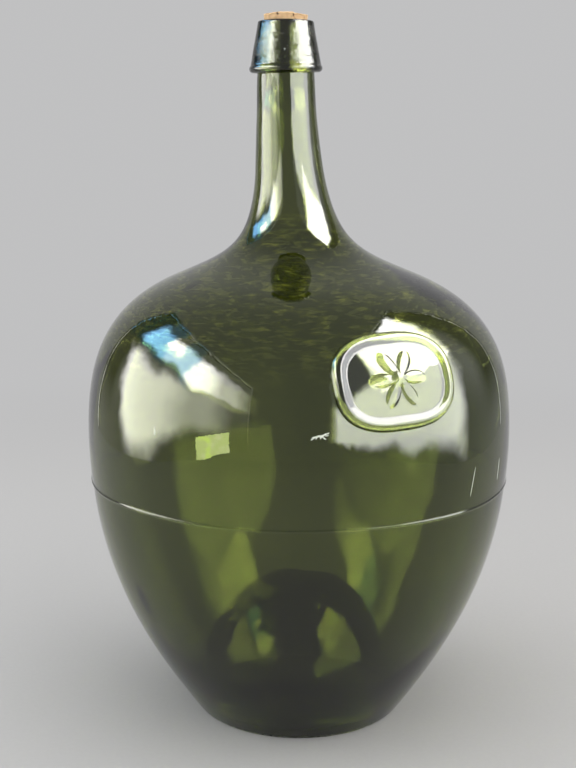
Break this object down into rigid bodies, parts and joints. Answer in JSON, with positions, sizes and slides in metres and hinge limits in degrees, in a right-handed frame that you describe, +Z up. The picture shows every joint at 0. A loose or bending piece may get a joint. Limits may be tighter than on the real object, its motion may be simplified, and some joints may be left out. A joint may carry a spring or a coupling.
{
  "type": "demijohn",
  "caption": "Large blown green glass demijohn with a swelling body, pushed-up base, narrow leaning neck, applied lip and oval seal, closed by a cork that pulls out.",
  "frame": {"origin": "middle of the resting ring, on the surface that the bottle stands on", "axes": "+Z up the body's axis, -Y towards the pictured front, the neck leaning towards -X"},
  "size_m": [0.32, 0.32, 0.5235],
  "materials": {
    "green_glass": "fire polished olive green blown glass with seeds and ripples",
    "natural_cork": "natural pitted cork, worn at the edge",
    "tag_paper": "blank yellow-green paper stuck on the glass"
  },
  "bodies": {
    "bottle": {"glass_vessel": "green_glass", "applied_lip": "green_glass", "applied_seal": "green_glass", "paper_tag": "tag_paper"},
    "cork": {"cork_stopper": "natural_cork"}
  },
  "joints": [
    {"name": "cork_pull", "type": "slide", "parent": "bottle", "child": "cork", "axis": [0, 0, 1], "range_m": [0, 0.045]}
  ]
}
